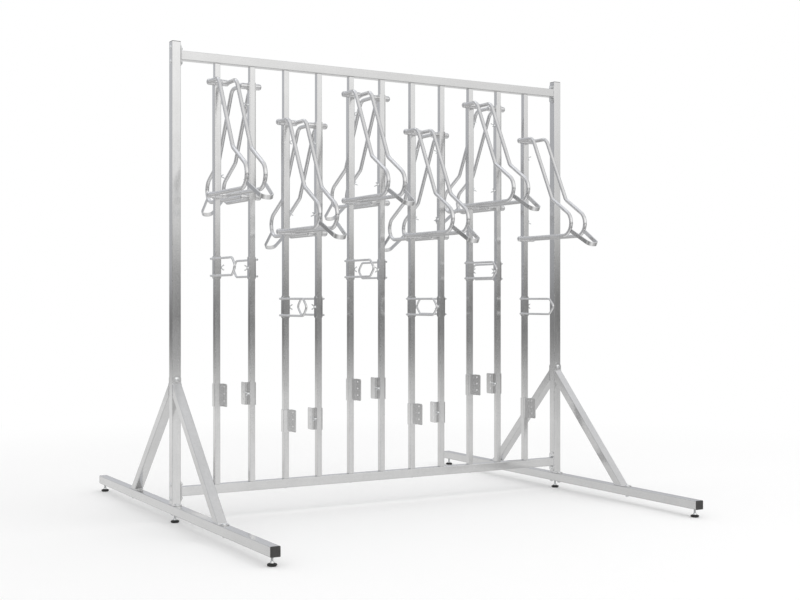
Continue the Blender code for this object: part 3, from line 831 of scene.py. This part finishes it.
def tubeCap(thickness):
    bm = bmesh.new()
    outline = squareOutline(tube["side"], tube["corner"])
    rings = []
    for inset, level in capLevels:
        share = 1 - 2 * inset / tube["side"]
        rings.append([bm.verts.new((x * share, y * share, thickness * level)) for x, y in outline])
    for first, second in zip(rings, rings[1:]):
        joinRings(bm, first, second)
    bm.faces.new(rings[-1])
    bm.faces.new(rings[0][::-1])
    bmesh.ops.recalc_face_normals(bm, faces=bm.faces)
    return meshFrom(bm, "cap")


def buildPosts():
    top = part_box("post_left")[1].z
    plate = tube["plate"]
    height = top - post["foot"] - plate - post["capThickness"]
    shapes = [
        (squareTube(height), lift(plate + height / 2), uprightZinc),
        (boltedPlate(), lift(plate / 2), uprightZinc),
        tubeSeam(lift(plate)),
        (tubeCap(post["capThickness"]), lift(plate + height), capPlastic),
    ]
    grip = plate + tube["side"] + gap
    for side in (-1, 1):
        shapes += boltThrough((0, side * tube["boltOffset"], plate), (0, 0, 1), grip)
    mesh = assemble("post", shapes)
    for node in ("post_left", "post_right"):
        addPiece(node, mesh, (middleOf(node)[0], 0, post["foot"]))


def buildBeams():
    half = beam["length"] / 2
    shapes = [(squareTube(beam["length"]), onto((0, 1, 0)), beamZinc)]
    for side in (-1, 1):
        shapes.append((tubeCap(beam["capThickness"]), onto((0, side, 0), (0, side * half, 0)), capPlastic))
    insert = turned(beam["insert"], steps=28)
    for place in beam["footPlaces"]:
        shapes.append((insert, onto((0, 0, -1), (0, place, -tube["side"] / 2)), boltZinc))
    mesh = assemble("foot_beam", shapes)
    for node in ("foot_beam_left", "foot_beam_right"):
        x, y, z = middleOf(node)
        addPiece(node, mesh, (x, 0, z))


def buildRails(barPlaces):
    half = rail["length"] / 2
    grip = tube["plate"] + gap + tube["side"]
    upright = Matrix.Rotation(math.pi / 2, 4, "X") @ Matrix.Rotation(math.pi / 2, 4, "Y")
    for node, up, steel in (("top_rail", 1, topRailShadedZinc), ("bottom_rail", -1, bottomRailZinc)):
        shapes = [(squareTube(rail["length"]), onto((1, 0, 0)), steel)]
        for side in (-1, 1):
            middle = Matrix.Translation((side * (half + tube["plate"] / 2), 0, 0))
            shapes.append((boltedPlate(), middle @ upright, steel))
            shapes.append(tubeSeam(onto((side, 0, 0), (side * half, 0, 0))))
            for height in (-tube["boltOffset"], tube["boltOffset"]):
                shapes += boltThrough((side * (half + grip), 0, height), (side, 0, 0), grip)
        for index in rail["boltHeads"]:
            shapes.append(barHead((barPlaces[index], 0, up * tube["side"] / 2), (0, 0, up)))
        addPiece(node, assemble(node, shapes), (0, 0, middleOf(node)[2]))


# From its start at the tube's side to the rounded end beyond the bolt
def lugPlate(start, bolt):
    half = tube["plateHalf"]
    outline = halfRound(half, bolt) + [Vector((-half, start)), Vector((half, start))]
    return cutPlate([outline], tube["plate"], tube["plateEdge"])


# An outline of the brace's tube where its lower or upper plate cuts it. The tube runs at
# 45 degrees from the beam up to the post; how far out and how far up its axis lies add up to middle.
def mitred(outline, middle, isLower):
    face = gap + tube["plate"]
    points = []
    for aside, above in outline:
        other = middle + above * math.sqrt(2) - face
        points.append(Vector((aside, -other, face) if isLower else (aside, -face, other)))
    return points


def slantedTube(middle):
    bm = bmesh.new()
    rings = []
    for outline in tubeOutlines(tube["side"], tube["wall"], tube["corner"]):
        for isLower in (True, False):
            rings.append([bm.verts.new(point) for point in mitred(outline, middle, isLower)])
    for first, second in ((0, 1), (2, 3), (0, 2), (1, 3)):  # outside, inside and both ends
        joinRings(bm, rings[first], rings[second])
    bmesh.ops.recalc_face_normals(bm, faces=bm.faces)
    return meshFrom(bm, "brace")


def buildBraces():
    face = gap + tube["plate"]
    outer = face + brace["reach"] - brace["setback"]
    inner = outer - tube["side"] * math.sqrt(2)
    middle = (outer + inner) / 2
    half = tube["side"] / 2
    across = gap + tube["plate"] / 2
    grip = face + tube["side"]
    postSide = Matrix.Translation((0, -across, 0)) @ Matrix.Rotation(math.pi / 2, 4, "X")
    beamSide = lift(across) @ Matrix.Rotation(math.pi, 4, "Z")
    ends = {"front": (braceFrontShadedZinc, -half, 0.0), "back": (braceBackShadedZinc, half, math.pi)}
    for end, (steel, y, turn) in ends.items():
        lug = lugPlate(inner - face - brace["lip"], brace["reach"])
        shapes = [(slantedTube(middle), here, steel), (lug, postSide, steel), (lug, beamSide, steel)]
        for isLower in (True, False):
            ring = mitred(seamOutline(), middle, isLower)
            shapes.append((weldSeam(ring, tube["seam"]), here, seamLightenedZinc))
        shapes += boltThrough((0, -brace["reach"], face), (0, 0, 1), grip)
        if end == "front":  # one bolt holds both braces to the post
            shapes += boltThrough((0, -face, brace["reach"]), (0, -1, 0), grip + face)
        mesh = assemble("brace_" + end, shapes)
        for side in ("left", "right"):
            node = "brace_" + side + "_" + end
            addPiece(node, mesh, (middleOf(node)[0], y, cornerHeight), turn=turn)


foot = {
    "stud": 0.005,
    "studStart": 0.018,
    "studTop": 0.055,
    "pitch": 0.0015,
    # profiles of cone nut and pad as (radius, height)
    "cone": [
        (0, 0.0190), (0.0062, 0.0190), (0.0068, 0.0184), (0.0072, 0.0160), (0.0090, 0.0130),
        (0.0090, 0.0116), (0, 0.0116),
    ],
    "pad": [
        (0, 0.0120), (0.0088, 0.0118), (0.0094, 0.0121), (0.0104, 0.0116), (0.0160, 0.0094),
        (0.0180, 0.0081), (0.0188, 0.0068), (0.0188, 0.0056), (0.0183, 0.0043), (0.0170, 0.0021),
        (0.0156, 0.0006), (0.0148, 0), (0, 0),
    ],
}


def buildFeet():
    pad = turned(foot["pad"], steps=40)
    cone = turned(foot["cone"])
    stud = thread(foot["stud"], foot["studTop"], foot["studStart"], foot["pitch"], steps=24)
    shapes = [(pad, here, padPlastic), (cone, here, footZinc), (stud, here, footZinc)]
    mesh = assemble("levelling_foot", shapes)
    for side in ("left", "right"):
        for end in ("front", "middle", "back"):
            node = "levelling_foot_" + side + "_" + end
            x, y, z = middleOf(node)
            addPiece(node, mesh, (x, y, 0), body=node)


# Panel: eleven bars, each with a wheel holder, a locking loop and a wheel stop

barNames = "abcdefghijk"
bar = {"side": 0.025, "wall": 0.002, "corner": 0.002}
sleeve = {
    "sheet": 0.003,
    "fold": 0.004,
    "clear": 0.0128,  # half the room inside
    "out": 0.0158,
    "step": 0.001,
}
holder = {
    "rod": 0.009,
    "rodSpacing": 0.083,
    "crossbar": 0.014,
    "dome": 0.011,
    "crossbarOffset": 0.0145,
    "crossbarDrop": 0.4955,
    "cutter": 0.1,  # size of the block that cuts a crossbar's notch
    "seamOut": 0.0003,  # how far the middle of a rod's seam is from the rod, and from the crossbar's side
    "seamOff": 0.0002,
    "overhang": 0.015,
    "armReach": 0.126,
    "armBend": 0.045,
    "kink": (0.287, 0.3145),  # reach and drop of the second bend
    "kinkBend": 0.035,
    "noseSlope": 30.9,
    "noseBend": 0.0589,
    "bolts": ((0.085, 45), (0.4105, -45)),  # drop below the upper crossbar, and how the nut was left
}
strap = {
    "slope": 28.8,
    "drop": 0.0068,
    "length": 0.151,
    "end": 0.052,
    "width": 0.020,
    "thickness": 0.004,
    "edge": 0.0007,
    "bend": 0.026,
    "inRod": 0.0027,  # from the rod's middle to the strap's start, and to its seams
    "seamOut": 0.0072,
    "seamAside": 0.0035,
    "seamHeights": (-0.008, 0, 0.008),
}
loop = {
    "rod": 0.005,
    "spacing": 0.075,
    "side": 0.030,
    "reach": 0.279,
    "noseDepth": 0.037,
    "tip": 0.016,
    "shoulder": 0.020,
    "bend": 0.009,
    "height": 0.101,
    "corner": 0.008,
    "seamOut": 0.0002,
}
stop = {
    "height": 0.101,
    "wall": 0.0255,
    "reach": 0.0595,
    "corner": 0.006,
    "fold": 0.003,
    "holes": 3,
    "hole": 0.0045,
    "holeDepth": 0.0300,
    "holeTop": 0.0126,
    "holePitch": 0.0315,
    "nutTurn": 50,
}


# Round the front of the bar and along both its sides
def sleeveLine():
    half = sleeve["sheet"] / 2
    line, back, fold = sleeve["out"] - half, bar["side"] / 2, sleeve["fold"] - half
    corners = [(-line, back, 0), (-line, -line, 0), (line, -line, 0), (line, back, 0)]
    return arc(corners, [0, fold, fold, 0], step=15)


# A sheet with its corners rounded off wherever it ends or, on a sleeve, folds
def cornered(path, height, corner, marks):
    def heightAt(travelled):
        missing = corner - min(abs(travelled - mark) for mark in marks)
        if missing <= 0:
            return height
        return height - 2 * (corner - math.sqrt(max(0.0, corner * corner - missing * missing)))
    return bentSheet(dense(path, sleeve["step"]), sleeve["sheet"], heightAt)


# A round bar with domed ends, notched for the channel
def crossbarMesh():
    half = holder["rodSpacing"] / 2
    profile = []
    for index in range(domeSteps + 1):
        turn = math.pi / 2 * index / domeSteps
        profile.append((holder["crossbar"] * math.sin(turn), half + holder["dome"] * math.cos(turn)))
    crossbar = turned(profile + [(radius, -level) for radius, level in reversed(profile)])
    crossbar.transform(onto((1, 0, 0), (0, -holder["crossbarOffset"], 0)))
    bm = bmesh.new()
    bmesh.ops.create_cube(bm, size=1.0)
    notch, block = sleeve["clear"] + sleeve["sheet"] / 2, holder["cutter"]
    clear = Matrix.Translation((0, block / 2 - notch, 0)) @ Matrix.Diagonal((2 * notch, block, block, 1))
    return cutAway(crossbar, [(meshFrom(bm, "block"), clear)])


# Where a crossbar meets the side of the channel
def channelSeam(side, height):
    radius, offset = holder["crossbar"], holder["crossbarOffset"]
    out = side * (sleeve["out"] + weld["standOff"])
    start, end = weld["channelSpan"]
    seam = []
    for index in range(weld["channelSteps"] + 1):
        turn = math.pi * (start + (end - start) * index / weld["channelSteps"])
        seam.append(Vector((out, -offset - radius * math.sin(turn), height + radius * math.cos(turn))))
    return (weldSeam(seam, weld["channelSeam"], closed=False), here, seamLightenedZinc)


# Round a rod where it meets a crossbar, whose round side the seam follows
def rodSeam(x, height):
    ring = []
    for aside, rise in circleOutline(holder["rod"] + holder["seamOut"], sides=24):
        bulge = math.sqrt(max(0.0, holder["crossbar"] ** 2 - rise * rise)) + holder["seamOff"]
        ring.append(Vector((x + aside, -holder["crossbarOffset"] - bulge, height + rise)))
    return (weldSeam(ring, weld["rodSeam"]), here, seamLightenedZinc)


# The strap leaves the noses of the rods square to them and narrows on its way out
def strapShapes(noseReach):
    half, nose = holder["rodSpacing"] / 2, holder["noseBend"]
    tangent = nose * math.tan((math.pi - math.radians(holder["noseSlope"])) / 2)
    centre = (0, tangent - noseReach, nose - holder["crossbarDrop"])
    tilt = Matrix.Translation(centre) @ Matrix.Rotation(math.radians(strap["slope"]), 4, "X")
    tilt = tilt @ Matrix.Rotation(math.pi, 4, "Z") @ lift(-strap["drop"])
    start = nose + strap["inRod"]
    end = nose + strap["length"] - strap["thickness"] / 2
    bend = strap["bend"] - strap["thickness"] / 2
    narrow = strap["end"] / 2
    corners = [(-half, start, 0), (-narrow, end, 0), (narrow, end, 0), (half, start, 0)]
    line = arc(corners, [0, bend, bend, 0], step=9)
    sheet = bentSheet(line, strap["thickness"], lambda travelled: strap["width"], strap["edge"])
    shapes = [(sheet, tilt, sheetZinc)]
    for x in (-half, half):
        for side in (-1, 1):  # a short seam on each side of the strap, along the rod
            place = (x + side * strap["seamAside"], nose + strap["seamOut"])
            seam = [Vector((*place, height)) for height in strap["seamHeights"]]
            shapes.append((weldSeam(seam, weld["strapSeam"], closed=False), tilt, seamLightenedZinc))
    return shapes


def buildHolderMesh():
    half = holder["rodSpacing"] / 2
    offset, drop = holder["crossbarOffset"], holder["crossbarDrop"]
    kinkReach, kinkDrop = holder["kink"]
    noseReach = kinkReach + (drop - kinkDrop) / math.tan(math.radians(holder["noseSlope"]))
    crossbar = crossbarMesh()
    shapes = []
    for height in (0, -drop):
        shapes.append((crossbar, lift(height), rodHighlitZinc))
        shapes += [channelSeam(side, height) for side in (-1, 1)]
    arm = holder["armReach"]
    corners = [(-offset, 0), (-arm, 0), (-kinkReach, -kinkDrop), (-noseReach, -drop), (-offset, -drop)]
    bends = [0, holder["armBend"], holder["kinkBend"], holder["noseBend"], 0]
    for x in (-half, half):
        path = arc([(x, *corner) for corner in corners], bends, step=6)
        shapes.append((bentRod(path, holder["rod"]), here, rodHighlitZinc))
        shapes += [rodSeam(x, height) for height in (0, -drop)]
    shapes += strapShapes(noseReach)
    height = drop + 2 * holder["overhang"]
    channel = bentSheet(sleeveLine(), sleeve["sheet"], lambda travelled: height)
    shapes.append((channel, lift(-drop / 2), sheetZinc))
    for below, degrees in holder["bolts"]:
        shapes += wingNut((sleeve["out"], 0, -below), degrees)
    return assemble("wheel_holder", shapes)


def buildLoopMesh():
    half, side = loop["spacing"] / 2, loop["side"]
    slope = math.atan2(half, loop["noseDepth"])
    reach = loop["reach"] + loop["tip"] * (1 / math.sin(slope) - 1)
    shoulder = loop["noseDepth"] - reach
    inSheet = sleeve["out"] - sleeve["sheet"] / 2
    corners = [(-inSheet, 0, half), (-side, 0, half), (-side, shoulder, half), (-side, -reach, 0)]
    corners += [(x, y, -z) for x, y, z in corners[-2::-1]]
    bends = [0, loop["bend"], loop["shoulder"], loop["tip"], loop["shoulder"], loop["bend"], 0]
    shapes = [(bentRod(arc(corners, bends, step=8), loop["rod"], sides=14), here, rodHighlitZinc)]
    line = sleeveLine()
    total = lengthOf(line)
    folding = bar["side"] / 2 + inSheet - sleeve["fold"] / 2
    marks = (0, folding, total - folding, total)
    shapes.append((cornered(line, loop["height"], loop["corner"], marks), here, sheetZinc))
    for height in (half, -half):
        circle = circleOutline(loop["rod"] + loop["seamOut"], sides=18)
        ring = [Vector((-sleeve["out"], point.x, height + point.y)) for point in circle]
        shapes.append((weldSeam(ring, weld["sleeveSeam"]), here, seamLightenedZinc))
    shapes += wingNut((sleeve["out"], 0, 0))
    return assemble("locking_loop", shapes)


def buildStopMesh():
    half = sleeve["sheet"] / 2
    line, wall = sleeve["out"] - half, stop["wall"] - half
    corners = [(-line, bar["side"] / 2, 0), (-line, -line, 0), (wall, -line, 0), (wall, -stop["reach"], 0)]
    path = arc(corners, [0, sleeve["fold"] - half, stop["fold"], 0], step=15)
    sheet = cornered(path, stop["height"], stop["corner"], (lengthOf(path),))
    hole, through = stop["hole"], 2 * sleeve["sheet"]
    drill = turned([(0, through), (hole, through), (hole, -through), (0, -through)], steps=24)
    holes = []
    for index in range(stop["holes"]):
        height = stop["height"] / 2 - stop["holeTop"] - index * stop["holePitch"]
        holes.append((drill, onto((1, 0, 0), (wall, -stop["holeDepth"], height))))
    return assemble("wheel_stop", [(cutAway(sheet, holes), here, sheetZinc)])


def buildBarMesh(length, nutHeight):
    shapes = [(squareTube(length, bar), lift(length / 2), barZinc)]
    shapes += wingNut((bar["side"] / 2, 0, nutHeight), stop["nutTurn"])
    return assemble("bar", shapes)


def barCentre(name):
    return middleOf("wheel_holder_" + name)[0]


# Every second bar faces the back
def buildPanel():
    holderMesh, loopMesh, stopMesh = buildHolderMesh(), buildLoopMesh(), buildStopMesh()
    print("holder, loop and stop shaped")
    barMeshes = {}
    for index, name in enumerate(barNames):
        facing = 0.0 if index % 2 == 0 else math.pi
        stopHeight = middleOf("wheel_stop_" + name)[2]
        loopHeight = middleOf("locking_loop_" + name)[2]
        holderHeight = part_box("wheel_holder_" + name)[1].z - holder["overhang"]
        low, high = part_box("bar_" + name)
        nutHeight = round(stopHeight - low.z, 4)
        if nutHeight not in barMeshes:
            barMeshes[nutHeight] = buildBarMesh(high.z - low.z, nutHeight)
        for kind, mesh, height, slot in (
            ("bar_", barMeshes[nutHeight], low.z, "bar_steel"),
            ("wheel_holder_", holderMesh, holderHeight, "holder_steel"),
            ("locking_loop_", loopMesh, loopHeight, "loop_steel"),
            ("wheel_stop_", stopMesh, stopHeight, "stop_steel"),
        ):
            addPiece(kind + name, mesh, (barCentre(name), 0, height), turn=facing)


buildPosts()
buildBeams()
buildRails([barCentre(name) for name in barNames])
buildBraces()
buildFeet()
print("frame built")
buildPanel()
print("panel built")

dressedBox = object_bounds()
for label, (low, high) in (("cad", cadBox), ("dressed", dressedBox)):
    print("size", label, [round(end - start, 4) for start, end in zip(low, high)])
